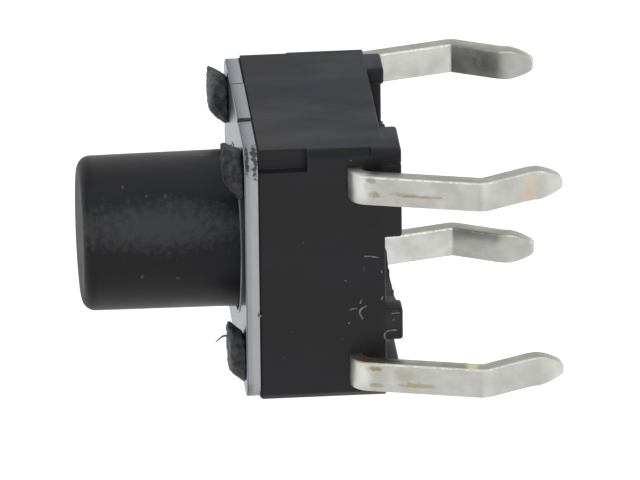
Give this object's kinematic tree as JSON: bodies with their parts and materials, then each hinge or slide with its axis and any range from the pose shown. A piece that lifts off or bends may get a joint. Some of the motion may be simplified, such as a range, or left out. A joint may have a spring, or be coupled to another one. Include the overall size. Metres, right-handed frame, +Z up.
{
  "type": "tactile push button switch",
  "caption": "Square through-hole tactile switch with a round sprung push button, a steel cover plate held by melted posts, and kinked solder leads.",
  "frame": {"origin": "centre of the seating plane, where the standoffs meet the circuit board, midway between the four leads", "axes": "+Z up along the button, away from the board; the lead rows leave the faces at -Y and +Y, the two leads of a row lie at -X and +X"},
  "size_m": [0.006, 0.0084, 0.0105],
  "materials": {
    "housing": "black moulded thermoplastic, satin",
    "cover_plate": "punched sheet, dull nickel",
    "push_button": "black moulded thermoplastic, fine satin",
    "contact_dome": "sprung stainless sheet",
    "terminals": "silver plated, slightly tarnished"
  },
  "bodies": {
    "base": {"housing": "housing", "cover_plate": "cover_plate", "contact_dome": "contact_dome", "terminal_centre": "terminals", "terminal_rim": "terminals"},
    "button": {"push_button": "push_button"}
  },
  "joints": [
    {"name": "button_press", "type": "slide", "parent": "base", "child": "button", "axis": [0, 0, -1], "range_m": [0, 0.00025], "stiffness_N_per_m": 40, "springref_m": -0.0002, "deforming": ["contact_dome"]}
  ]
}
